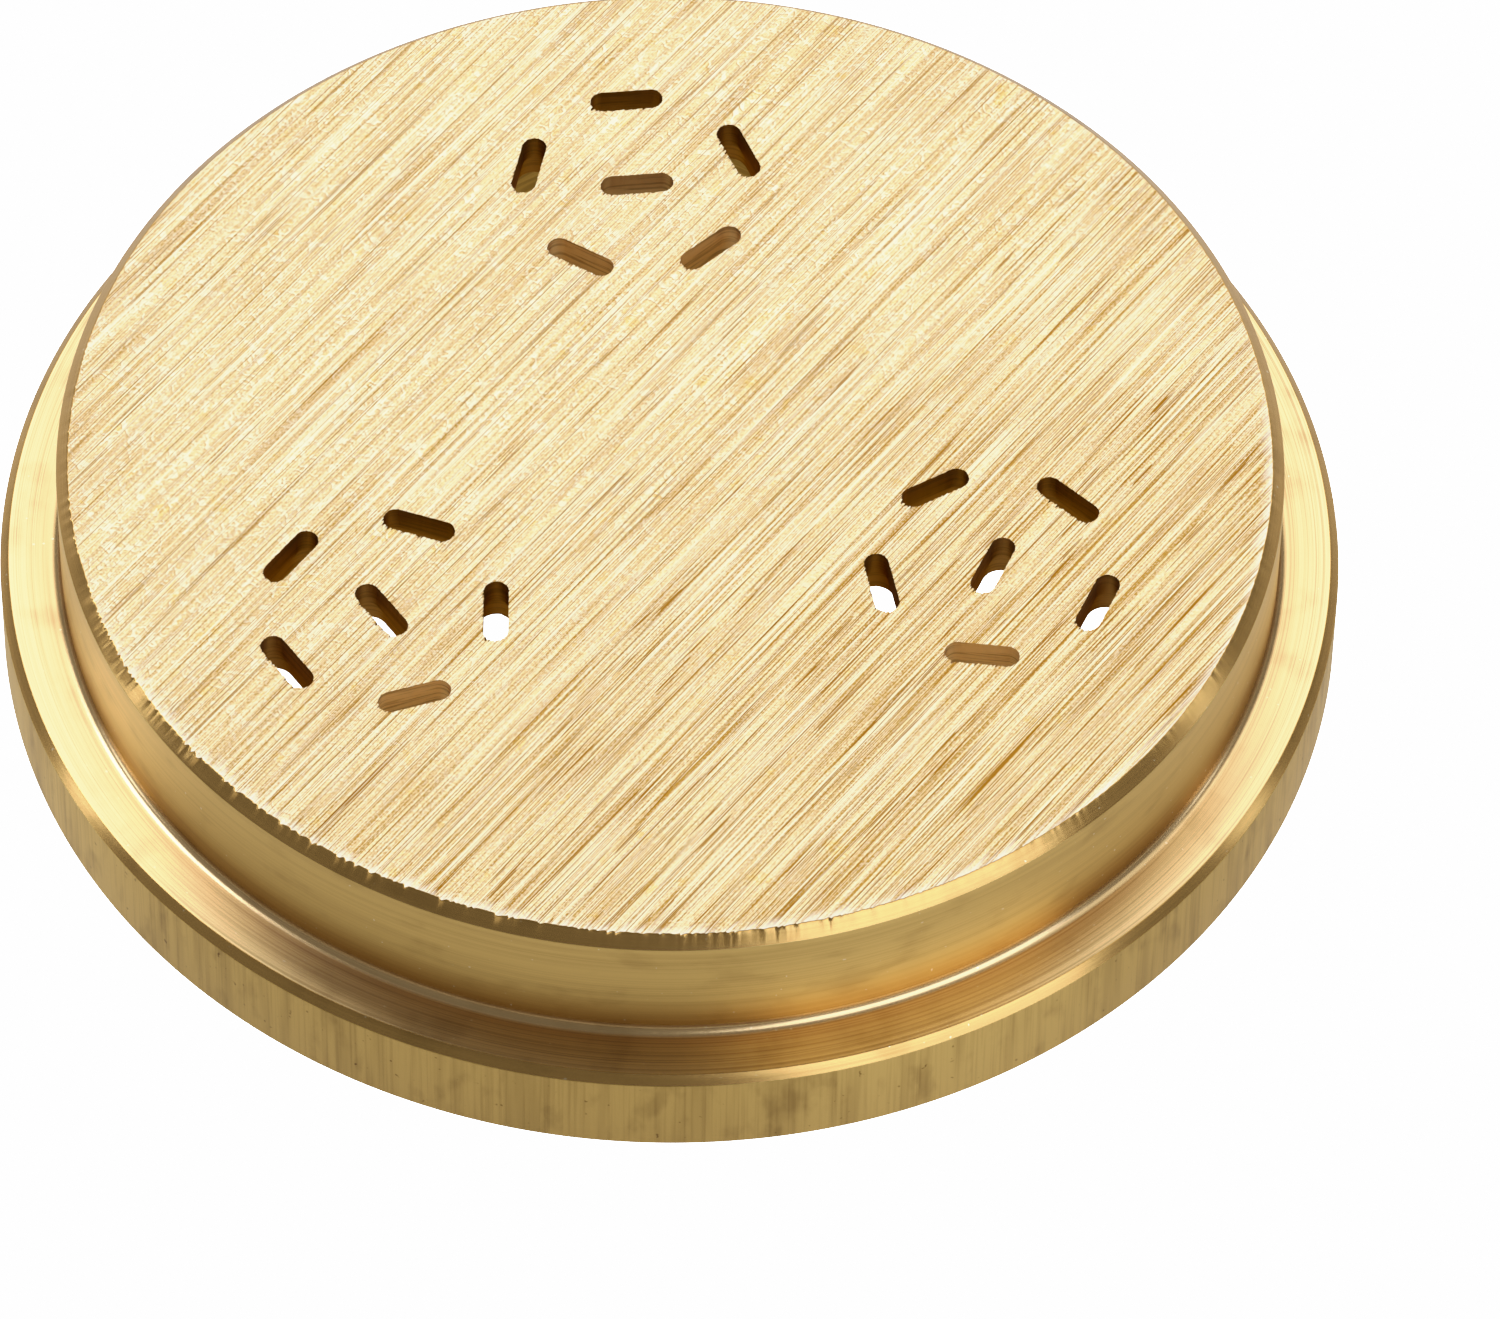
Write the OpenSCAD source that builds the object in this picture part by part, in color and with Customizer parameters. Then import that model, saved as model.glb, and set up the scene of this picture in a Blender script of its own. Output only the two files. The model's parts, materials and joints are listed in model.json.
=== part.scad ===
// Extrusion die for a table-top pasta machine: one piece of turned brass.
// A round boss stands on a wider clamping flange. Groups of narrow slots run
// through the front face, and the dough reaches each group through a round
// pocket milled from the back. Millimetres, +Z towards the front face,
// origin at the centre of the back face, first group of slots on +Y.

/* [Turned blank] */
// Diameter of the clamping flange
flange_d = 55; // [53:0.5:64]
// Thickness of the clamping flange
flange_t = 4.2; // [2:0.1:6.5]
// Chamfer on the flange's front edge
flange_chamfer = 0.35; // [0.1:0.05:0.8]
// Diameter of the boss that stands through the retaining ring
boss_d = 50; // [46:0.5:52.5]
// Height from the back face to the front face
height = 10; // [8:0.1:14]
// Chamfer round the front face
boss_chamfer = 0.5; // [0.2:0.05:1.2]
// Radius left by the turning tool in the corner between boss and flange
corner_r = 0.4; // [0.1:0.05:0.8]

/* [Slots] */
// Length of a slot in the front face, which is the width of the strand
slot_l = 3; // [2:0.1:3.6]
// Width of a slot, which is the thickness of the strand
slot_w = 1; // [0.6:0.05:1.4]
// Length of the parallel land that shapes the strand
land_t = 1.2; // [0.6:0.1:2]
// Step from the land out to the wider relief behind it
relief_step = 0.3; // [0.1:0.05:0.5]

/* [Pattern] */
// Number of slot groups round the die
group_count = 3; // [2:1:4]
// Slots in the ring of each group, round one slot in the middle
ring_count = 5; // [3:1:6]
// Radius of the ring of slots, to the middle of a slot
ring_r = 4.6; // [4.4:0.1:5.2]

/* [Pockets] */
// Thickness of metal between the pocket floor and the front face
floor_t = 2.5; // [2.1:0.1:4]
// Flat floor left between the slot reliefs and the pocket wall
pocket_margin = 3.2; // [1.5:0.1:3.8]
// Wall left between a pocket and the side of the boss
rim_wall = 2; // [1:0.1:3]
// Chamfer round the mouth of a pocket
mouth_chamfer = 0.4; // [0.1:0.05:1]

/* [Hidden] */
$fn = 96;
flange_r = flange_d / 2;
boss_r = boss_d / 2;
relief_l = slot_l + 2 * relief_step;
relief_w = slot_w + 2 * relief_step;
// The far end of a ring relief, seen from the middle of its group, sets the pocket
relief_reach = norm([ring_r, (relief_l - relief_w) / 2]) + relief_w / 2;
pocket_r = relief_reach + pocket_margin;
// Each pocket lies rim_wall inside the boss, which places its group
group_r = boss_r - rim_wall - pocket_r;
pocket_h = height - floor_t;
// How far a cut runs on into space that is already open
over = land_t / 2;

// Half section of the blank: flange, corner radius, boss and both chamfers
module blank_section() {
    polygon([
        [0, 0],
        [flange_r, 0],
        [flange_r, flange_t - flange_chamfer],
        [flange_r - flange_chamfer, flange_t],
        [boss_r, flange_t],
        [boss_r, height - boss_chamfer],
        [boss_r - boss_chamfer, height],
        [0, height]
    ]);
    translate([boss_r, flange_t])
        difference() {
            square(corner_r);
            translate([corner_r, corner_r])
                circle(corner_r);
        }
}

// Outline with straight sides and half-round ends, long side along X
module round_ended(length, width) {
    straight = length - width;
    square([straight, width], center = true);
    for (side = [-1, 1])
        translate([side * straight / 2, 0])
            circle(d = width);
}

// One slot: the land from the front face, then the relief down into the pocket
module slot_cut() {
    translate([0, 0, height - land_t])
        linear_extrude(land_t + over)
            round_ended(slot_l, slot_w);
    translate([0, 0, pocket_h - over])
        linear_extrude(floor_t - land_t + over)
            round_ended(relief_l, relief_w);
}

// Flat-bottomed pocket from the back face, with a chamfered mouth
module pocket_cut() {
    translate([0, 0, -over])
        cylinder(h = pocket_h + over, r = pocket_r);
    translate([0, 0, -over])
        cylinder(
            h = mouth_chamfer + over,
            r1 = pocket_r + mouth_chamfer + over,
            r2 = pocket_r
        );
}

// One group, with its outward direction along +Y: the pocket, the middle slot
// and the ring, whose slots each lie across their own radius
module group_cut() {
    pocket_cut();
    slot_cut();
    for (i = [0 : ring_count - 1])
        rotate(i * 360 / ring_count)
            translate([0, ring_r, 0])
                slot_cut();
}

module die() {
    color("#c8a962")
        difference() {
            rotate_extrude()
                blank_section();
            for (i = [0 : group_count - 1])
                rotate(i * 360 / group_count)
                    translate([0, group_r, 0])
                        group_cut();
        }
}

die();
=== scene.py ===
"""A turned brass pasta die with a sanded front face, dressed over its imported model."""

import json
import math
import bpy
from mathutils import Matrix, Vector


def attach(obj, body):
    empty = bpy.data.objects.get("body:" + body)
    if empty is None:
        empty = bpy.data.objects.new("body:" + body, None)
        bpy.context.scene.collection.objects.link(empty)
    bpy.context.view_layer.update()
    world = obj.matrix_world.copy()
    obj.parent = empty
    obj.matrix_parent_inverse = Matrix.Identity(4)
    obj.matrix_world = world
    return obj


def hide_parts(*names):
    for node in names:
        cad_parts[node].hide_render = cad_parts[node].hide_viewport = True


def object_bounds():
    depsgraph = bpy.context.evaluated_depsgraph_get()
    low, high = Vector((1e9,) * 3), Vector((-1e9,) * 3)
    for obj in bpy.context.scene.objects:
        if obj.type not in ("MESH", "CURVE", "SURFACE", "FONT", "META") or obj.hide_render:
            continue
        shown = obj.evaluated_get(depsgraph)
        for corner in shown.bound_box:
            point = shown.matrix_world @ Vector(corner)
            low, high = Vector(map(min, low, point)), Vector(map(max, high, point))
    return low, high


bl_info = {
    "name": "Pasta die dressing",
    "version": (1, 0, 0),
    "blender": (4, 5, 0),
    "location": "3D View > Sidebar > Pasta die",
    "description": "Builds the visual model of a turned brass pasta die and its studio stage",
    "category": "Object",
}

import bpy
import numpy as np
from mathutils import Matrix
from mathutils.geometry import delaunay_2d_cdt

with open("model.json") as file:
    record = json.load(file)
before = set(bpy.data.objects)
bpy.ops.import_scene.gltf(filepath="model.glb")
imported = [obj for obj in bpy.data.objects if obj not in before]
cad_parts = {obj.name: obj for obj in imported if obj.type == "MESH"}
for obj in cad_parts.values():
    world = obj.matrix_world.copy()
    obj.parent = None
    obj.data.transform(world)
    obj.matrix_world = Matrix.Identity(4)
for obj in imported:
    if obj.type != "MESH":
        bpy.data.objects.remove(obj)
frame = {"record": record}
CAD_BOX = [list(corner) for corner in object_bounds()]
MOUNTS = {mount["name"]: mount for mount in frame["record"]["mounts"]}
MM = 0.001

# Sizes that the frame states, in millimetres
HEIGHT = (CAD_BOX[1][2] - CAD_BOX[0][2]) / MM
FLANGE_R = MOUNTS["rim"]["dims"]["r_mm"]
FLANGE_T = MOUNTS["shoulder"]["pos_m"][2] / MM
BOSS_R = MOUNTS["boss"]["dims"]["r_mm"]
FLANGE_CHAMFER = FLANGE_T - MOUNTS["rim"]["dims"]["length_mm"]

# Points round the die, a slot and a pocket, and steps in the arc of a worn edge
DIE_STEPS = 1440
SLOT_STEPS = 180
POCKET_STEPS = 240
ARC_STEPS = 4

# Height of the torn lip of an edge and width of the flat ring inside the front edge, in millimetres, and
# the angle in degrees past which an edge is sharp
LIP = 0.12
FACE_RING = 0.2
SHARP_ANGLE = 50

# Torn edges: seed of the draws, the power that makes most tears short, the trace as a share of the longest
# tear, and the share of the trace that goes inwards
TEAR_SEED = 7
TEAR_POWER = 4
TEAR_TRACE = 0.15
TEAR_INWARD = 0.3

# Slots on the ring of a group, how far towards -Y one faces before painted light is laid on its walls at
# all, and over what span the painted light comes to full strength
RING_COUNT = 5
PAINTED_LIGHT_FROM = 0.45
PAINTED_LIGHT_SPAN = 0.4

# Painted light on the walls of the slot in the middle of each group
MIDDLE_PAINTED_LIGHT = (0.45, 0.1, 0.1)

# Ways across the front face in which the belt pressed harder, and in which it ran off the rim
PRESSED_WAY = (0.5, -0.85, 0)
LEAVING_WAY = (0.15, -1, 0)

WHITE = "FFFFFF"
DAYLIGHT = "E0E9FF"

# Softboxes a metre away: name, bearing from the camera's right and height above the floor in degrees,
# width and height in metres, radiance and colour
SOFTBOXES = (
    ("back softbox", 88, 48, 1.4, 0.72, 1.73, WHITE),
    ("left softbox", 150, 54, 0.26, 0.35, 9.5, DAYLIGHT),
    ("low left strip", 176, 18, 0.12, 0.3, 4.6, DAYLIGHT),
    ("low right strip", 4, 18, 0.12, 0.3, 3.0, DAYLIGHT),
    ("front softbox", 312, 38, 0.75, 0.75, 3.1, DAYLIGHT),
    ("right softbox", 8, 54, 0.6, 0.4, 0.8, WHITE),
)

# Light from all round, the floor's grey, its height in millimetres, half its side in metres, and the glow
# of the sheet that the metal mirrors and of the one that the camera sees
WORLD_RADIANCE = 0.2
FLOOR_GREY = "959595"
FLOOR_Z = -0.02
FLOOR_HALF = 3.0
CARD_GLOW = 0.5
WHITE_GLOW = 4.0

# Brightness that shows as full white, and brightness and shown level at points of the curve up to it
HIGHLIGHT = 3.0
ROLL_OFF = ((0.65, 0.65), (1.0, 0.9), (1.7, 0.975))

# Faces of the die, in the order of the materials on its mesh
FRONT, CHAMFER, BOSS, SHOULDER, RIM, SLOT, BACK, POCKET = range(8)


def linear(hex_colour):
    """The linear RGB of an sRGB hex colour, such as D9B56A."""
    srgb = np.array([int(hex_colour[i : i + 2], 16) for i in (0, 2, 4)]) / 255
    return tuple(np.where(srgb <= 0.04045, srgb / 12.92, ((srgb + 0.055) / 1.055) ** 2.4))


def size(name, description, millimetres):
    """A length property with its default given in millimetres."""
    return bpy.props.FloatProperty(
        name=name, description=description, default=millimetres * MM, min=0.0, unit="LENGTH", precision=5
    )


def colour(name, description, hex_colour):
    """A colour property with its default given as sRGB hex."""
    return bpy.props.FloatVectorProperty(
        name=name, description=description, default=linear(hex_colour), min=0.0, max=1.0, subtype="COLOR"
    )


def angle(name, description, degrees):
    """An angle property with its default given in degrees."""
    return bpy.props.FloatProperty(
        name=name, description=description, default=math.radians(degrees), subtype="ANGLE"
    )


class PastaDieSizes(bpy.types.PropertyGroup):
    """Sizes of the die that its mounts don't give"""

    boss_chamfer: size("Boss chamfer", "Chamfer round the front face", 0.5)
    corner_r: size("Corner radius", "Tool radius between boss and flange", 0.4)
    edge_r: size("Edge radius", "Wear radius on the turned edges", 0.06)
    slot_l: size("Slot length", "Length of a slot in the front face", 3.0)
    slot_w: size("Slot width", "Width of a slot in the front face", 1.0)
    land_t: size("Land", "Depth of the parallel land behind the front face", 1.2)
    relief_step: size("Relief step", "Step from the land to the relief behind it", 0.3)
    floor_t: size("Floor", "Metal between a pocket and the front face", 2.5)
    group_r: size("Group radius", "From the axis to the middle of a slot group", 14.293)
    ring_r: size("Ring radius", "From the middle of a group to its ring of slots", 4.6)
    pocket_r: size("Pocket radius", "Radius of a pocket behind a slot group", 8.707)
    mouth_chamfer: size("Mouth chamfer", "Chamfer round the mouth of a pocket", 0.4)
    burr: size("Burr", "Longest notch that sanding tore at a slot's edge", 0.22)
    rag: size("Rag", "Longest burr that sanding pushed over the rim of the front face", 0.16)


class PastaDieFinish(bpy.types.PropertyGroup):
    """Colours and lay of the finish"""

    grain: angle("Grain", "Direction of the sanding lines, from +X", 47.0)
    sanded: colour("Sanded brass", "Front face between its scratches", "F4D8A0")
    # Scratch also makes the painted shadow beside each curl of the front face, and Pale its painted
    # highlight
    scratch: colour("Scratch", "Deep sanding lines", "B58434")
    groove: colour("Groove", "Thin dark scratches of the front face", "9A6614")
    pale: colour("Pale", "Raised lines and burrs of the front face", "FFF2CE")
    burred: colour("Burred", "Torn metal along the rim of the front face", "FFF6E2")
    gold: colour("Gold", "Yellow spots of the front face", "F0C860")
    chamfer: colour("Chamfer", "Both chamfers", "CB9F5A")
    turned: colour("Turned brass", "Side of the boss, and the back", "D0AB63")
    shoulder: colour("Shoulder", "Flat ring of the flange", "EACA92")
    rim: colour("Rim", "Side of the flange, slightly tarnished", "CCA75E")
    # Painted light: the pale colour is laid over the walls of slots that face -Y; the brown is what the
    # other walls keep
    cut: colour("Cut brass", "Walls of the cleanest slots", "FFDC9C")
    dulled: colour("Dulled brass", "Walls of the other slots", "A2702C")
    milled: colour("Milled brass", "Walls of the pockets, dulled by use", "CCA862")
    edge_tint: colour("Edge tint", "Glancing reflections in the slots and pockets", "AD8B61")
    stain: colour("Stain", "Stains and tool lines", "6E4E1E")
    # Painted reflection: orange laid over the corner between boss and flange, where boss and flange mirror
    # each other
    tarnish: colour("Tarnish", "Tarnish in the corner between boss and flange", "B2721C")


class PastaDieStage(bpy.types.PropertyGroup):
    """Camera and light"""

    azimuth: angle("Azimuth", "Camera's bearing round the die", -6.64)
    elevation: angle("Elevation", "Camera's height above the horizon", 51.94)
    roll: angle("Roll", "Camera's roll", 1.03)
    distance: size("Distance", "From the camera to the die's axis", 464.4)
    right: size("Right", "Camera's offset to its right", 3.336)
    down: size("Down", "Camera's offset downwards", 2.349)
    focal_px: bpy.props.FloatProperty(
        name="Focal length", description="Focal length in pixels of the picture", default=11223.0
    )
    picture_w: bpy.props.IntProperty(name="Picture width", description="Width in pixels", default=1500)


def rounded_path(corners, radii, steps):
    """A path of straight stretches with round corners: at each corner an arc of the given radius,
    tangent to both sides, replaces the point, or the point stays where the radius is nought. Returns the
    points, and for each the number of the side it starts."""
    corners = np.array(corners, float)
    points, sides = [corners[0]], [0]
    for i in range(1, len(corners) - 1):
        if radii[i] == 0:
            points.append(corners[i])
            sides.append(i)
            continue
        before = corners[i] - corners[i - 1]
        after = corners[i + 1] - corners[i]
        before /= np.linalg.norm(before)
        after /= np.linalg.norm(after)
        bend = math.atan2(before[0] * after[1] - before[1] * after[0], before @ after)
        start = corners[i] - before * radii[i] * math.tan(abs(bend) / 2)
        inward = np.array([-before[1], before[0]]) * math.copysign(1.0, bend)
        centre = start + inward * radii[i]
        t = np.linspace(0, bend, steps + 1)[:, None]
        spoke = np.array([[-inward[0], -inward[1]]])
        cross = np.array([[inward[1], -inward[0]]])
        arc = centre + radii[i] * (spoke * np.cos(t) + cross * np.sin(t))
        points.extend(arc)
        sides.extend([i - 1] * steps + [i])
    points.append(corners[-1])
    sides.append(len(corners) - 2)
    return np.array(points), np.array(sides)


class Shell:
    """Collects the loops and faces of one closed mesh. A loop runs anticlockwise seen from +Z."""

    def __init__(self):
        self.points = []
        self.faces = []
        self.materials = []
        self.flat = []
        self.clean = []
        self.total = 0

    def loop(self, xyz):
        """Adds one closed loop of points and returns their numbers."""
        self.points.append(xyz)
        self.total += len(xyz)
        return np.arange(self.total - len(xyz), self.total)

    def band(self, lower, upper, material, clean=0.0):
        """Closed strip of quads from one loop to the next, its front to the right of the way it runs."""
        quads = np.stack([lower, np.roll(lower, -1), np.roll(upper, -1), upper], 1)
        self.faces.extend(quads.tolist())
        self.materials.extend([material] * len(quads))
        self.flat.extend([False] * len(quads))
        self.clean.extend([clean] * len(quads))

    def sheet(self, outer, holes, material, up):
        """Flat sheet of triangles inside one loop and outside the others, facing up or down."""
        points = np.concatenate(self.points)[:, :2]
        loops = [outer] + list(holes)
        numbers = np.concatenate(loops)
        flat = points[numbers]
        starts = np.cumsum([0] + [len(loop) for loop in loops])
        spans = [np.arange(s, e) for s, e in zip(starts[:-1], starts[1:])]
        edges = np.concatenate([np.stack([span, np.roll(span, -1)], 1) for span in spans])
        made = delaunay_2d_cdt(flat.tolist(), edges.tolist(), [], 0, 1e-9)
        if len(made[0]) != len(flat):
            raise RuntimeError("the loops of a flat face cross each other")
        triangles = np.array(made[2])
        middle = flat[triangles].mean(1)
        keep = inside(middle, flat[: starts[1]])
        for s, e in zip(starts[1:-1], starts[2:]):
            keep &= ~inside(middle, flat[s:e])
        triangles = triangles[keep]
        a, b, c = (flat[triangles[:, k]] for k in range(3))
        area = (b[:, 0] - a[:, 0]) * (c[:, 1] - a[:, 1]) - (b[:, 1] - a[:, 1]) * (c[:, 0] - a[:, 0])
        turned = (area > 0) != up
        triangles[turned] = triangles[turned][:, ::-1]
        self.faces.extend(numbers[triangles].tolist())
        self.materials.extend([material] * len(triangles))
        self.flat.extend([True] * len(triangles))
        self.clean.extend([0.0] * len(triangles))

    def mesh(self, name):
        """The mesh in metres, smooth where it is round, with its sharp edges marked, and an attribute for
        the share of painted light on each face."""
        mesh = bpy.data.meshes.new(name)
        mesh.from_pydata((np.concatenate(self.points) * MM).tolist(), [], self.faces)
        mesh.polygons.foreach_set("material_index", np.array(self.materials, np.int32))
        mesh.set_sharp_from_angle(angle=math.radians(SHARP_ANGLE))
        mesh.polygons.foreach_set("use_smooth", ~np.array(self.flat))
        mesh.attributes.new("clean", "FLOAT", "FACE").data.foreach_set("value", self.clean)
        mesh.update()
        return mesh


def inside(points, polygon):
    """Even-odd test of many points against one polygon, as one array over points and sides."""
    x, y = points[:, :1], points[:, 1:]
    ax, ay = polygon[None, :, 0], polygon[None, :, 1]
    bx, by = np.roll(ax, -1, 1), np.roll(ay, -1, 1)
    spans = (ay > y) != (by > y)
    rise = np.where(by == ay, 1.0, by - ay)
    return (spans & (x < ax + (y - ay) * (bx - ax) / rise)).sum(1) % 2 == 1


def ring(radius, z, segments, centre=(0.0, 0.0)):
    """Circle of points at one height."""
    t = np.arange(segments) * (2 * math.pi / segments)
    x = centre[0] + radius * np.cos(t)
    y = centre[1] + radius * np.sin(t)
    return np.stack([x, y, np.full(segments, z)], 1)


def slot_outline(length, width, count):
    """Points at even steps round a slot: two straight sides and two half circles, long side along X."""
    straight, radius = length - width, width / 2
    lap = straight + math.pi * radius
    s = np.arange(count) * (2 * lap / count)
    side = np.where(s < lap, 1.0, -1.0)
    s = np.where(s < lap, s, s - lap)
    bend = np.clip(s - straight, 0, None) / radius
    x = np.where(s < straight, -straight / 2 + s, straight / 2 + radius * np.sin(bend))
    y = np.where(s < straight, -radius, -radius * np.cos(bend))
    return np.stack([side * x, side * y], 1)


def turn(points, degrees):
    """Points turned about Z."""
    c, s = math.cos(math.radians(degrees)), math.sin(math.radians(degrees))
    return points @ np.array([[c, s], [-s, c]])


def torn(loop, drag, longest, rng):
    """An edge that sanding tore: points whose outward side faces the drag are pulled along it by random
    amounts, a power of an even draw so most are short, and all move by a trace, more out than in."""
    tangent = np.roll(loop, -1, 0) - np.roll(loop, 1, 0)
    outward = np.stack([tangent[:, 1], -tangent[:, 0]], 1)
    outward /= np.linalg.norm(outward, axis=1, keepdims=True)
    facing = np.clip(outward @ drag, 0, 1)
    pull = longest * facing * rng.random(len(loop)) ** TEAR_POWER
    trace = TEAR_TRACE * longest * (rng.random((len(loop), 1)) - TEAR_INWARD)
    return loop + pull[:, None] * drag + trace * outward


def slot_places(sizes):
    """Middle of each group, and the centre, direction in degrees and share of painted light of its slots:
    one in the middle and the others on a ring, each across its own radius. The walls of the slots at a
    group's -Y side get painted light, a pale colour laid over them."""
    group_r, ring_r = sizes.group_r / MM, sizes.ring_r / MM
    for g, middle_painted_light in enumerate(MIDDLE_PAINTED_LIGHT):
        bearing = 90 + g * 360 / len(MIDDLE_PAINTED_LIGHT)
        middle = turn(np.array([[group_r, 0.0]]), bearing)[0]
        slots = [(middle, bearing - 90, middle_painted_light)]
        for i in range(RING_COUNT):
            way = bearing + i * 360 / RING_COUNT
            # Painted light on the slot walls, strongest for slots that face -Y
            facing = -math.sin(math.radians(way))
            clean = min(max((facing - PAINTED_LIGHT_FROM) / PAINTED_LIGHT_SPAN, 0.0), 1.0)
            centre = middle + turn(np.array([[ring_r, 0.0]]), way)[0]
            slots.append((centre, way - 90, clean))
        yield middle, slots


def die_mesh(sizes, grain):
    """The die as one closed surface: a profile carried round the axis, slot outlines carried down through
    land and relief, pockets carried up from the back, and flat sheets between their loops."""
    mm = {name: getattr(sizes, name) / MM for name in sizes.__annotations__}
    shell = Shell()
    rng = np.random.default_rng(TEAR_SEED)
    drag = -np.array([math.cos(grain), math.sin(grain)])
    e = mm["edge_r"]
    face_r = BOSS_R - mm["boss_chamfer"]

    # Half section from just inside the back's worn edge round to a flat ring on the front face
    corners = [
        (FLANGE_R - 1.5 * e, 0),
        (FLANGE_R, 0),
        (FLANGE_R, FLANGE_T - FLANGE_CHAMFER),
        (FLANGE_R - FLANGE_CHAMFER, FLANGE_T),
        (BOSS_R, FLANGE_T),
        (BOSS_R, HEIGHT - mm["boss_chamfer"]),
        (face_r + LIP, HEIGHT - LIP),
        (face_r, HEIGHT),
        (face_r - FACE_RING, HEIGHT),
    ]
    radii = [0, e, e, e, mm["corner_r"], e, 0, e, 0]
    profile, sides = rounded_path(corners, radii, ARC_STEPS)
    finish = [BACK, RIM, CHAMFER, SHOULDER, BOSS, CHAMFER, CHAMFER, FRONT]
    circles = [ring(r, z, DIE_STEPS) for r, z in profile]
    rim = ring(face_r, HEIGHT, DIE_STEPS)[:, :2]
    burr = torn(rim, drag, mm["rag"], rng) - rim
    for circle, z in zip(circles[:-1], profile[:-1, 1]):
        if z > HEIGHT - e / 2:
            circle[:, :2] += burr
    loops = [shell.loop(circle) for circle in circles]
    for k in range(len(loops) - 1):
        shell.band(loops[k], loops[k + 1], finish[sides[k]])
    front, back = loops[-1], loops[0]

    land_end = HEIGHT - mm["land_t"]
    pocket_top = HEIGHT - mm["floor_t"]
    relief_l = mm["slot_l"] + 2 * mm["relief_step"]
    relief_w = mm["slot_w"] + 2 * mm["relief_step"]
    straight = slot_outline(mm["slot_l"], mm["slot_w"], SLOT_STEPS)
    wide = slot_outline(relief_l, relief_w, SLOT_STEPS)
    front_holes, mouths = [], []
    for middle, slots in slot_places(sizes):
        floor_holes = []
        for centre, way, clean in slots:
            edge = torn(turn(straight, way), drag, mm["burr"], rng) + centre
            wall = turn(straight, way) + centre
            relief = turn(wide, way) + centre
            levels = [
                (edge, HEIGHT),
                (wall, HEIGHT - LIP),
                (wall, land_end),
                (relief, land_end),
                (relief, pocket_top),
            ]
            run = [shell.loop(np.column_stack([xy, np.full(SLOT_STEPS, z)])) for xy, z in levels]
            for a, b in zip(run[:-1], run[1:]):
                shell.band(a, b, SLOT, clean)
            front_holes.append(run[0])
            floor_holes.append(run[-1])
        steps = [
            (mm["pocket_r"], pocket_top),
            (mm["pocket_r"], mm["mouth_chamfer"]),
            (mm["pocket_r"] + mm["mouth_chamfer"], 0.0),
        ]
        run = [shell.loop(ring(r, z, POCKET_STEPS, middle)) for r, z in steps]
        for a, b in zip(run[:-1], run[1:]):
            shell.band(a, b, POCKET)
        shell.sheet(run[0], floor_holes, POCKET, up=False)
        mouths.append(run[-1])
    shell.sheet(front, front_holes, FRONT, up=True)
    shell.sheet(back, mouths, BACK, up=False)
    return shell.mesh("die_body")


def add(tree, kind, inputs=None, **settings):
    """Adds one shader node, sets its properties, sets or links its inputs and returns its outputs."""
    node = tree.nodes.new("ShaderNode" + kind)
    for name, value in settings.items():
        setattr(node, name, value)
    for key, value in (inputs or {}).items():
        if isinstance(value, bpy.types.NodeSocket):
            tree.links.new(value, node.inputs[key])
        else:
            node.inputs[key].default_value = value
    return node.outputs


def brass(name, roughness, anisotropy):
    """A metal ready for its patterns: the material, its node tree and its shader's inputs."""
    material = bpy.data.materials.new(name)
    material.use_nodes = True
    inputs = material.node_tree.nodes["Principled BSDF"].inputs
    inputs["Metallic"].default_value = 1.0
    inputs["Roughness"].default_value = roughness
    inputs["Anisotropic"].default_value = anisotropy
    return material, material.node_tree, inputs


def scratches(tree, place, cell, seed, detail=2.0):
    """Noise drawn out into marks of the given length, width and depth in millimetres. The seed moves it to
    another part of the noise."""
    scale = [1 / (MM * side) for side in cell]
    offset = (seed, 0.7 * seed, 0.3 * seed)
    moved = add(tree, "Mapping", {"Vector": place, "Location": offset, "Scale": scale})[0]
    return add(tree, "TexNoise", {"Vector": moved, "Scale": 1.0, "Detail": detail})[0]


def layered(tree, layers):
    """Sum of patterns, each a smooth step between two levels times its weight."""
    total = 0.0
    for value, low, high, weight in layers:
        # Sockets 0, 1, 2 and 4 are the value, its two levels and the upper result
        bounds = {0: value, 1: low, 2: high, 4: weight}
        step = add(tree, "MapRange", bounds, interpolation_type="SMOOTHSTEP")[0]
        total = add(tree, "Math", {0: step, 1: total}, operation="ADD")[0]
    return total


def blended(tree, base, layers):
    """A base colour with others laid over it, each by its own share."""
    for over, share in layers:
        # Sockets 0, 6 and 7 are the share and the two colours, and output 2 is the mixed colour
        colours = {0: share, 6: base, 7: (*over, 1)}
        base = add(tree, "Mix", colours, data_type="RGBA", clamp_factor=True)[2]
    return base


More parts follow.
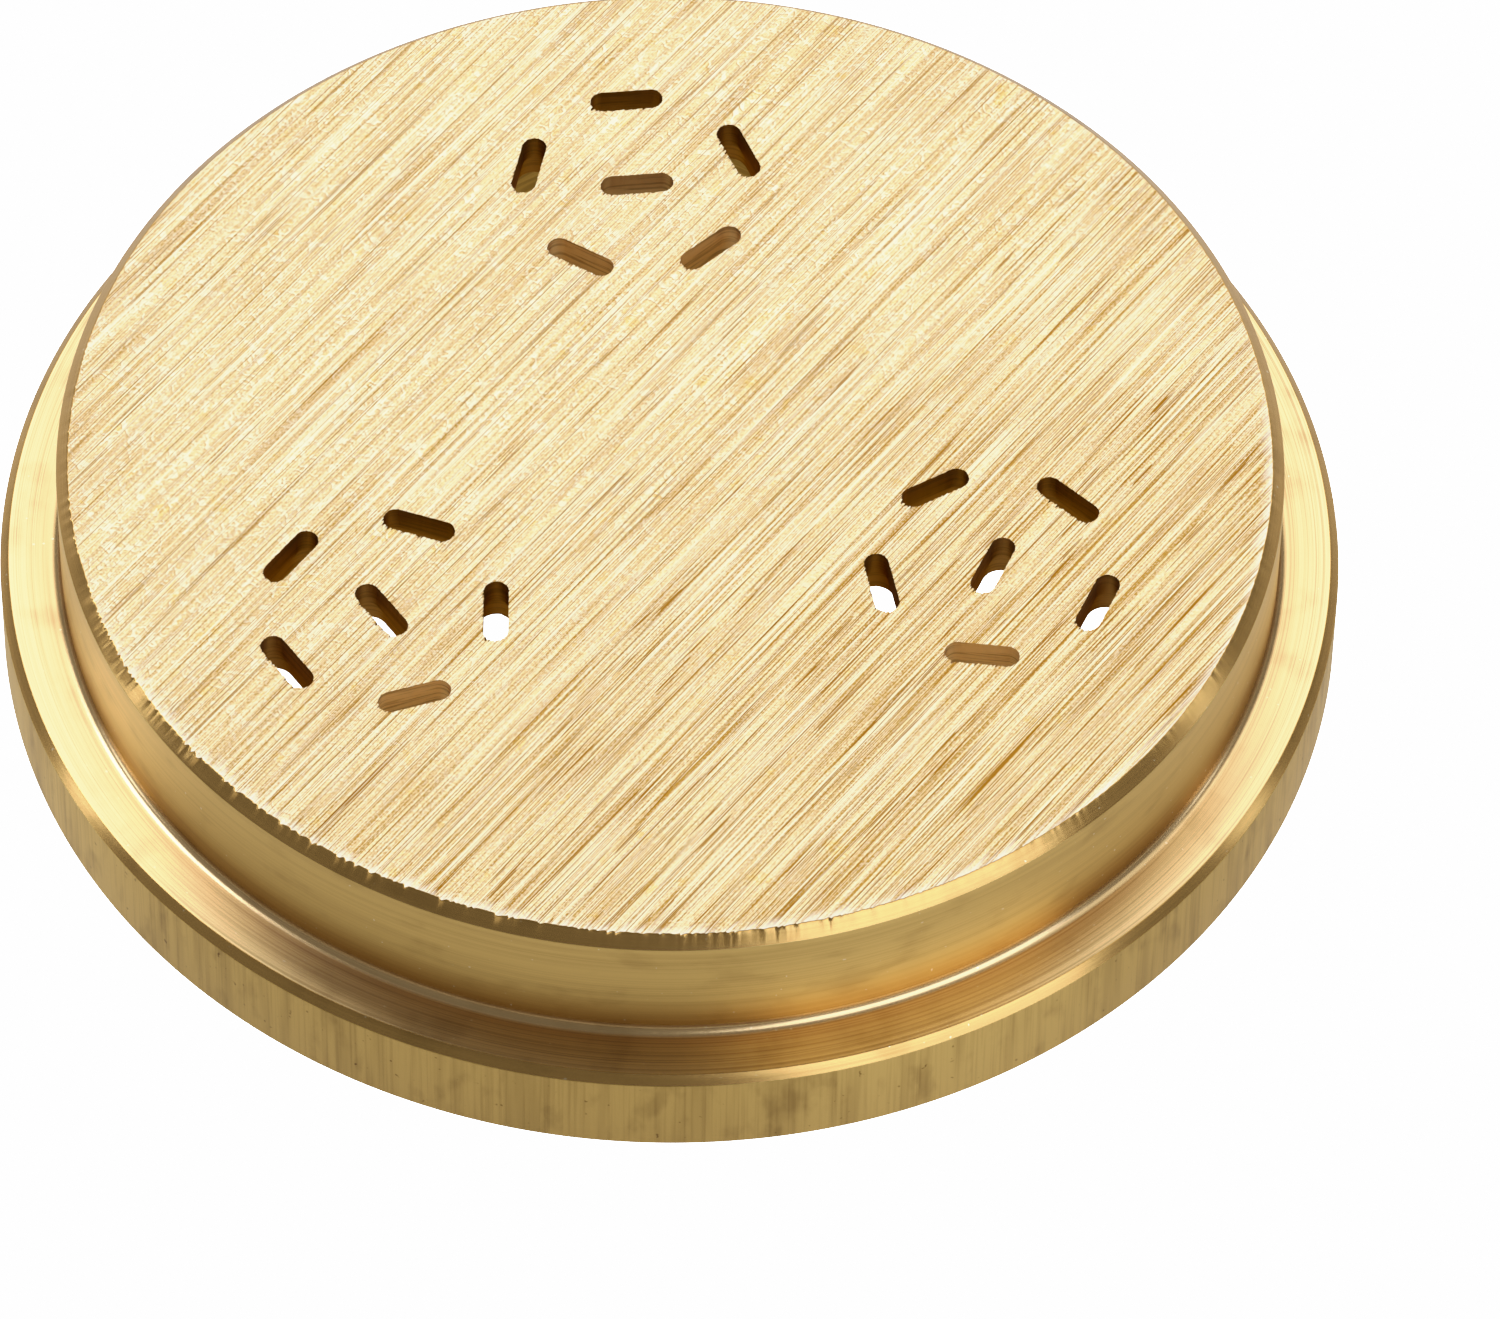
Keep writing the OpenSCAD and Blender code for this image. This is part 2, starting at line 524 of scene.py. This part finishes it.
def sanded_brass(finish, sizes):
    """Brass sanded flat on a belt. Straight lines of many depths run one way, dark and pale, and between
    them lie crumbs and short raised curls, each with a painted highlight and a painted shadow beside it, so
    the face glows pale. Its rim is burred white where the belt left it. Real belt lines can be too fine to
    show, so the narrowest noise here is 0.06 mm wide."""
    material, tree, shader = brass("sanded brass", roughness=0.45, anisotropy=0.85)
    place = add(tree, "TexCoord")["Object"]
    along = add(tree, "VectorRotate", {"Vector": place, "Angle": -finish.grain}, rotation_type="Z_AXIS")[0]
    hair = scratches(tree, along, (9.0, 0.06, 5.0), 2.9)
    fine = scratches(tree, along, (13.0, 0.1, 5.0), 1.3)
    deep = scratches(tree, along, (26.0, 0.13, 5.0), 9.7)
    pale = scratches(tree, along, (12.0, 0.1, 5.0), 7.1)
    crumb = scratches(tree, place, (0.1, 0.1, 5.0), 3.1, detail=1.0)
    flake = scratches(tree, place, (0.11, 0.11, 5.0), 5.3, detail=1.0)
    gold = scratches(tree, place, (1.1, 1.1, 5.0), 6.3, detail=4.0)

    # Where the belt pressed harder, lines are stronger and curls fewer
    pressed = add(tree, "VectorMath", {0: place, 1: PRESSED_WAY}, operation="DOT_PRODUCT")["Value"]
    pressed = layered(tree, [(pressed, -8 * MM, 22 * MM, 1.0)])

    # Curls are level lines of a noise, broken up by another, each a painted highlight with a painted shadow
    patch = layered(tree, [(scratches(tree, place, (0.5, 0.5, 5.0), 4.7), 0.46, 0.52, 1.0)])
    spared = add(tree, "Math", {0: pressed, 1: -0.8, 2: 1.0}, operation="MULTIPLY_ADD")[0]
    patch = add(tree, "Math", {0: patch, 1: spared}, operation="MULTIPLY")[0]
    curls = []
    for seed in (8.3, 8.38):
        level = scratches(tree, place, (0.5, 0.5, 5.0), seed, detail=1.0)
        line = add(tree, "Math", {0: level, 1: 0.5, 2: 0.05}, operation="COMPARE")[0]
        curls.append(add(tree, "Math", {0: line, 1: patch}, operation="MULTIPLY")[0])

    strength = add(tree, "Math", {0: pressed, 1: 0.95, 2: 0.95}, operation="MULTIPLY_ADD")[0]
    lines = layered(tree, [(hair, 0.48, 0.62, 0.44), (fine, 0.55, 0.64, 0.5), (deep, 0.61, 0.68, 0.42)])
    lines = add(tree, "Math", {0: lines, 1: strength}, operation="MULTIPLY")[0]
    broken = add(tree, "Math", {0: layered(tree, [(crumb, 0.35, 0.65, 0.8)]), 1: 0.5}, operation="ADD")[0]
    lines = add(tree, "Math", {0: lines, 1: broken}, operation="MULTIPLY")[0]

    # Thin dark scratches are level lines of a noise drawn out along the grain, so they run in small sheaves
    drift = scratches(tree, along, (70.0, 0.8, 5.0), 5.9)
    grooves = 0.0
    for level in (0.4, 0.45, 0.5, 0.55, 0.6):
        line = add(tree, "Math", {0: drift, 1: level, 2: 0.007}, operation="COMPARE")[0]
        grooves = add(tree, "Math", {0: line, 1: grooves}, operation="ADD")[0]
    grooves = add(tree, "Math", {0: grooves, 1: strength}, operation="MULTIPLY")[0]
    gaps = layered(tree, [(hair, 0.38, 0.6, 0.7)])
    grooves = add(tree, "Math", {0: grooves, 1: gaps}, operation="MULTIPLY")[0]

    # Burr along the part of the rim where the belt ran off the face, with a ragged inner edge
    spoke = add(tree, "VectorMath", {0: place, 1: (1, 1, 0)}, operation="MULTIPLY")[0]
    radius = add(tree, "VectorMath", {0: spoke}, operation="LENGTH")["Value"]
    trailing = add(tree, "VectorMath", {0: spoke, 1: LEAVING_WAY}, operation="DOT_PRODUCT")["Value"]
    face_r = BOSS_R * MM - sizes.boss_chamfer
    ragged = add(tree, "Math", {0: fine, 1: 1.6 * MM, 2: radius}, operation="MULTIPLY_ADD")[0]
    burr = layered(tree, [(ragged, face_r + 0.4 * MM, face_r + 1.0 * MM, 0.8)])
    leaving = layered(tree, [(trailing, -0.1 * face_r, 0.35 * face_r, 1.0)])
    burr = add(tree, "Math", {0: burr, 1: leaving}, operation="MULTIPLY")[0]

    tone = blended(tree, (*finish.sanded, 1), [
        (finish.gold, layered(tree, [(gold, 0.58, 0.72, 0.5)])),
        (finish.pale, layered(tree, [(flake, 0.48, 0.64, 0.6)])),
        (finish.scratch, layered(tree, [(crumb, 0.5, 0.68, 0.36)])),
        # Painted shadow and painted highlight of the curls
        (finish.scratch, add(tree, "Math", {0: curls[1], 1: 0.5}, operation="MULTIPLY")[0]),
        (finish.pale, curls[0]),
        (finish.pale, layered(tree, [(pale, 0.52, 0.63, 0.85)])),
        (finish.scratch, lines),
        (finish.groove, grooves),
        (finish.burred, burr),
    ])
    tree.links.new(tone, shader["Base Color"])
    across = add(tree, "CombineXYZ", {0: -math.sin(finish.grain), 1: math.cos(finish.grain)})[0]
    tree.links.new(across, shader["Tangent"])
    height = layered(tree, [
        (fine, 0.3, 0.7, -0.4),
        (deep, 0.55, 0.75, -1.0),
        (hair, 0.3, 0.7, -0.2),
        (crumb, 0.2, 0.8, 0.2),
        (pale, 0.5, 0.75, 0.4),
    ])
    bump = add(tree, "Bump", {"Height": height, "Strength": 0.6, "Distance": 0.02 * MM})[0]
    tree.links.new(bump, shader["Normal"])
    return material


def turned_brass(name, base, finish, roughness, anisotropy, rings_weight=0.14, corner_reflection_weight=0.5):
    """Brass from the lathe: fine rings left by the tool, so light spreads across them in a long streak,
    with a few brown clouds, specks of dust, and a painted reflection in the corner between boss and flange:
    orange painted shade where the boss and the flange mirror each other. Real rings can be too fine to
    show, so these are drawn 0.06 mm wide."""
    material, tree, shader = brass(name, roughness, anisotropy)
    place = add(tree, "TexCoord")["Object"]
    xyz = add(tree, "SeparateXYZ", {0: place})
    spoke = add(tree, "VectorMath", {0: place, 1: (1, 1, 0)}, operation="MULTIPLY")[0]
    radius = add(tree, "VectorMath", {0: spoke}, operation="LENGTH")["Value"]
    travel = add(tree, "Math", {0: xyz[2], 1: radius}, operation="SUBTRACT")[0]
    rings = add(tree, "CombineXYZ", {0: xyz[0], 1: xyz[1], 2: travel})[0]
    fine = scratches(tree, rings, (30.0, 30.0, 0.06), 2.2, detail=3.0)
    broad = scratches(tree, rings, (14.0, 14.0, 0.4), 7.7)
    cloud = scratches(tree, place, (2.5, 2.5, 1.2), 4.4, detail=3.0)
    dust = scratches(tree, place, (0.2, 0.2, 0.2), 6.6, detail=0.0)
    section = add(tree, "CombineXYZ", {0: radius, 2: xyz[2]})[0]
    corner = (BOSS_R * MM, 0, FLANGE_T * MM)
    depth = add(tree, "VectorMath", {0: section, 1: corner}, operation="DISTANCE")["Value"]
    share = layered(tree, [
        (fine, 0.4, 0.7, rings_weight),
        (broad, 0.45, 0.7, 0.12),
        (cloud, 0.5, 0.75, 0.2),
    ])
    tone = blended(tree, (*base, 1), [
        (finish.stain, share),
        # Painted reflection and shade, more orange towards the corner between boss and flange
        (finish.tarnish, layered(tree, [(depth, 2.4 * MM, 0.2 * MM, corner_reflection_weight)])),
        (finish.pale, layered(tree, [(dust, 0.83, 0.87, 0.4)])),
    ])
    tree.links.new(tone, shader["Base Color"])
    round_axis = add(tree, "VectorMath", {0: place, 1: (0, 0, 1)}, operation="CROSS_PRODUCT")[0]
    normal = add(tree, "NewGeometry")["Normal"]
    across = add(tree, "VectorMath", {0: normal, 1: round_axis}, operation="CROSS_PRODUCT")[0]
    across = add(tree, "VectorMath", {0: across}, operation="NORMALIZE")[0]
    tree.links.new(across, shader["Tangent"])
    bump = add(tree, "Bump", {"Height": fine, "Strength": 0.4, "Distance": 0.003 * MM})[0]
    tree.links.new(bump, shader["Normal"])
    return material


def drawn_brass(finish):
    """Side of a drawn bar, left as it came: fine lines along the axis, a dull oxide film and small brown
    stains.
    Real lines can be too fine to show, so these are drawn 0.12 mm wide."""
    material, tree, shader = brass("drawn brass", roughness=0.36, anisotropy=0.95)
    place = add(tree, "TexCoord")["Object"]
    lines = scratches(tree, place, (0.12, 0.12, 8.0), 1.7)
    streak = scratches(tree, place, (0.7, 0.7, 12.0), 8.3)
    stain = scratches(tree, place, (1.2, 1.2, 2.5), 4.9, detail=3.0)
    pit = scratches(tree, place, (0.3, 0.3, 0.3), 2.3, detail=1.0)
    share = layered(tree, [
        (lines, 0.45, 0.75, 0.2),
        (streak, 0.45, 0.7, 0.25),
        (stain, 0.52, 0.75, 0.3),
        (pit, 0.72, 0.8, 0.6),
    ])
    tree.links.new(blended(tree, (*finish.rim, 1), [(finish.stain, share)]), shader["Base Color"])
    upright = add(tree, "CombineXYZ", {2: 1.0})[0]
    tree.links.new(upright, shader["Tangent"])
    bump = add(tree, "Bump", {"Height": lines, "Strength": 0.3, "Distance": 0.01 * MM})[0]
    tree.links.new(bump, shader["Normal"])
    return material


def cut_brass(name, base, finish, cell, roughness):
    """Brass from a small mill: level tool lines on the walls, brown, and pale where a painted light is laid
    over them by each face's share. Real lines can be too fine to show, so these are drawn as coarse as they
    need to be."""
    material, tree, shader = brass(name, roughness, anisotropy=0.0)
    shader["Specular Tint"].default_value = (*finish.edge_tint, 1)
    place = add(tree, "TexCoord")["Object"]
    lines = scratches(tree, place, cell, 3.7)
    cloud = scratches(tree, place, (0.8, 0.8, 0.8), 5.9)
    share = layered(tree, [(lines, 0.48, 0.62, 0.4), (cloud, 0.45, 0.7, 0.08)])
    # Painted light: a pale colour laid over the walls by each face's share
    painted_light_share = add(tree, "Attribute", attribute_name="clean")["Fac"]
    tone = blended(tree, (*base, 1), [(finish.cut, painted_light_share), (finish.stain, share)])
    tree.links.new(tone, shader["Base Color"])
    bump = add(tree, "Bump", {"Height": lines, "Strength": 0.5, "Distance": 0.01 * MM})[0]
    tree.links.new(bump, shader["Normal"])
    return material


class PASTADIE_OT_body(bpy.types.Operator):
    """Build the die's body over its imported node"""

    bl_idname = "pasta_die.body"
    bl_label = "Die body"

    def execute(self, context):
        settings = context.scene.pasta_die
        finish = settings.finish
        mesh = die_mesh(settings.sizes, finish.grain)
        body = bpy.data.objects.new("die_body", mesh)
        context.scene.collection.objects.link(body)
        for material in (
            sanded_brass(finish, settings.sizes),
            turned_brass("turned brass chamfer", finish.chamfer, finish, roughness=0.26, anisotropy=0.7),
            turned_brass("turned brass side", finish.turned, finish, roughness=0.33, anisotropy=0.9),
            turned_brass(
                "turned brass shoulder",
                finish.shoulder,
                finish,
                roughness=0.25,
                anisotropy=0.6,
                rings_weight=0.4,
                corner_reflection_weight=0.22,
            ),
            drawn_brass(finish),
            cut_brass("slotted brass", finish.dulled, finish, cell=(3.0, 3.0, 0.12), roughness=0.5),
            turned_brass("faced brass", finish.turned, finish, roughness=0.3, anisotropy=0.8),
            cut_brass("milled brass", finish.milled, finish, cell=(6.0, 6.0, 0.3), roughness=0.5),
        ):
            mesh.materials.append(material)
        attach(body, "root")
        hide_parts("die")
        return {"FINISHED"}


def floor_sheet(name, glow):
    """A square of pale floor that glows by the given amount, a hair below the die's back face."""
    low = FLOOR_Z * MM
    square = ((-1, -1), (1, -1), (1, 1), (-1, 1))
    corners = [(FLOOR_HALF * x, FLOOR_HALF * y, low) for x, y in square]
    mesh = bpy.data.meshes.new(name)
    mesh.from_pydata(corners, [], [(0, 1, 2, 3)])
    pale = bpy.data.materials.new(name)
    pale.use_nodes = True
    shader = pale.node_tree.nodes["Principled BSDF"].inputs
    shader["Base Color"].default_value = (*linear(FLOOR_GREY), 1)
    shader["Roughness"].default_value = 1.0
    shader["Specular IOR Level"].default_value = 0.0
    shader["Emission Color"].default_value = (*linear(WHITE), 1)
    shader["Emission Strength"].default_value = glow
    mesh.materials.append(pale)
    return bpy.data.objects.new(name, mesh)


class PASTADIE_OT_stage(bpy.types.Operator):
    """Set the floor, the lights and the camera"""

    bl_idname = "pasta_die.stage"
    bl_label = "Stage"

    def execute(self, context):
        scene = context.scene
        stage = scene.pasta_die.stage
        scene.view_settings.view_transform = "Standard"

        # Highlights roll off softly, as on film, so bright metal goes cream and not flat yellow
        scene.view_settings.use_curve_mapping = True
        mapping = scene.view_settings.curve_mapping
        mapping.white_level = (HIGHLIGHT, HIGHLIGHT, HIGHLIGHT)
        for level, shown in ROLL_OFF:
            mapping.curves[3].points.new(level / HIGHLIGHT, shown)
        mapping.update()

        # The metal mirrors the card, which also takes the shadow. The camera sees the white sheet instead.
        for name, glow, seen in (("floor_card", CARD_GLOW, False), ("floor_white", WHITE_GLOW, True)):
            floor = floor_sheet(name, glow)
            scene.collection.objects.link(floor)
            floor.visible_camera = seen
            floor.visible_diffuse = not seen
            floor.visible_glossy = not seen
            floor.visible_shadow = not seen

        world = bpy.data.worlds.new("studio")
        world.use_nodes = True
        background = world.node_tree.nodes["Background"].inputs
        background["Color"].default_value = (*linear(WHITE), 1)
        background["Strength"].default_value = WORLD_RADIANCE
        scene.world = world

        ahead = np.array([-math.sin(stage.azimuth), math.cos(stage.azimuth), 0.0])
        right = np.array([math.cos(stage.azimuth), math.sin(stage.azimuth), 0.0])
        for name, bearing, height, width, tall, radiance, tint in SOFTBOXES:
            turned, raised = math.radians(bearing), math.radians(height)
            way = math.cos(raised) * (math.cos(turned) * right + math.sin(turned) * ahead)
            way[2] = math.sin(raised)
            data = bpy.data.lights.new(name, "AREA")
            data.shape = "RECTANGLE"
            data.size = width
            data.size_y = tall
            data.energy = radiance * math.pi * width * tall
            data.color = linear(tint)
            lamp = bpy.data.objects.new(name, data)
            scene.collection.objects.link(lamp)
            across = np.cross((0, 0, 1), way)
            across /= np.linalg.norm(across)
            axes = np.column_stack([across, np.cross(way, across), way, way])
            lamp.matrix_world = Matrix(axes.tolist()).to_4x4()
            lamp.visible_camera = False

        back = -math.cos(stage.elevation) * ahead
        back[2] = math.sin(stage.elevation)
        up = np.cross(back, right)
        c, s = math.cos(stage.roll), math.sin(stage.roll)
        right, up = c * right + s * up, c * up - s * right
        place = back * stage.distance + right * stage.right - up * stage.down
        data = bpy.data.cameras.new("camera")
        data.sensor_width = 36.0
        data.lens = data.sensor_width * stage.focal_px / stage.picture_w
        data.clip_start = 0.01
        camera = bpy.data.objects.new("camera", data)
        scene.collection.objects.link(camera)
        camera.matrix_world = Matrix(np.column_stack([right, up, back, place]).tolist()).to_4x4()
        scene.camera = camera
        return {"FINISHED"}


class PASTADIE_PT_panel(bpy.types.Panel):
    """Sidebar panel that lists the die's pieces and stage"""

    bl_idname = "PASTADIE_PT_panel"
    bl_label = "Pasta die"
    bl_space_type = "VIEW_3D"
    bl_region_type = "UI"
    bl_category = "Pasta die"

    def draw(self, context):
        settings = context.scene.pasta_die
        for group, operators in (
            (settings.sizes, [PASTADIE_OT_body]),
            (settings.finish, []),
            (settings.stage, [PASTADIE_OT_stage]),
        ):
            box = self.layout.box()
            for name in group.__annotations__:
                box.prop(group, name)
            for operator in operators:
                box.operator(operator.bl_idname)


class PastaDieSettings(bpy.types.PropertyGroup):
    """All settings of the die"""

    sizes: bpy.props.PointerProperty(type=PastaDieSizes)
    finish: bpy.props.PointerProperty(type=PastaDieFinish)
    stage: bpy.props.PointerProperty(type=PastaDieStage)


CLASSES = (
    PastaDieSizes,
    PastaDieFinish,
    PastaDieStage,
    PastaDieSettings,
    PASTADIE_OT_body,
    PASTADIE_OT_stage,
    PASTADIE_PT_panel,
)


def register():
    for cls in CLASSES:
        bpy.utils.register_class(cls)
    bpy.types.Scene.pasta_die = bpy.props.PointerProperty(type=PastaDieSettings)


def unregister():
    del bpy.types.Scene.pasta_die
    for cls in reversed(CLASSES):
        bpy.utils.unregister_class(cls)


def main():
    register()
    bpy.ops.pasta_die.body()
    bpy.ops.pasta_die.stage()


if __name__ == "__main__":
    main()
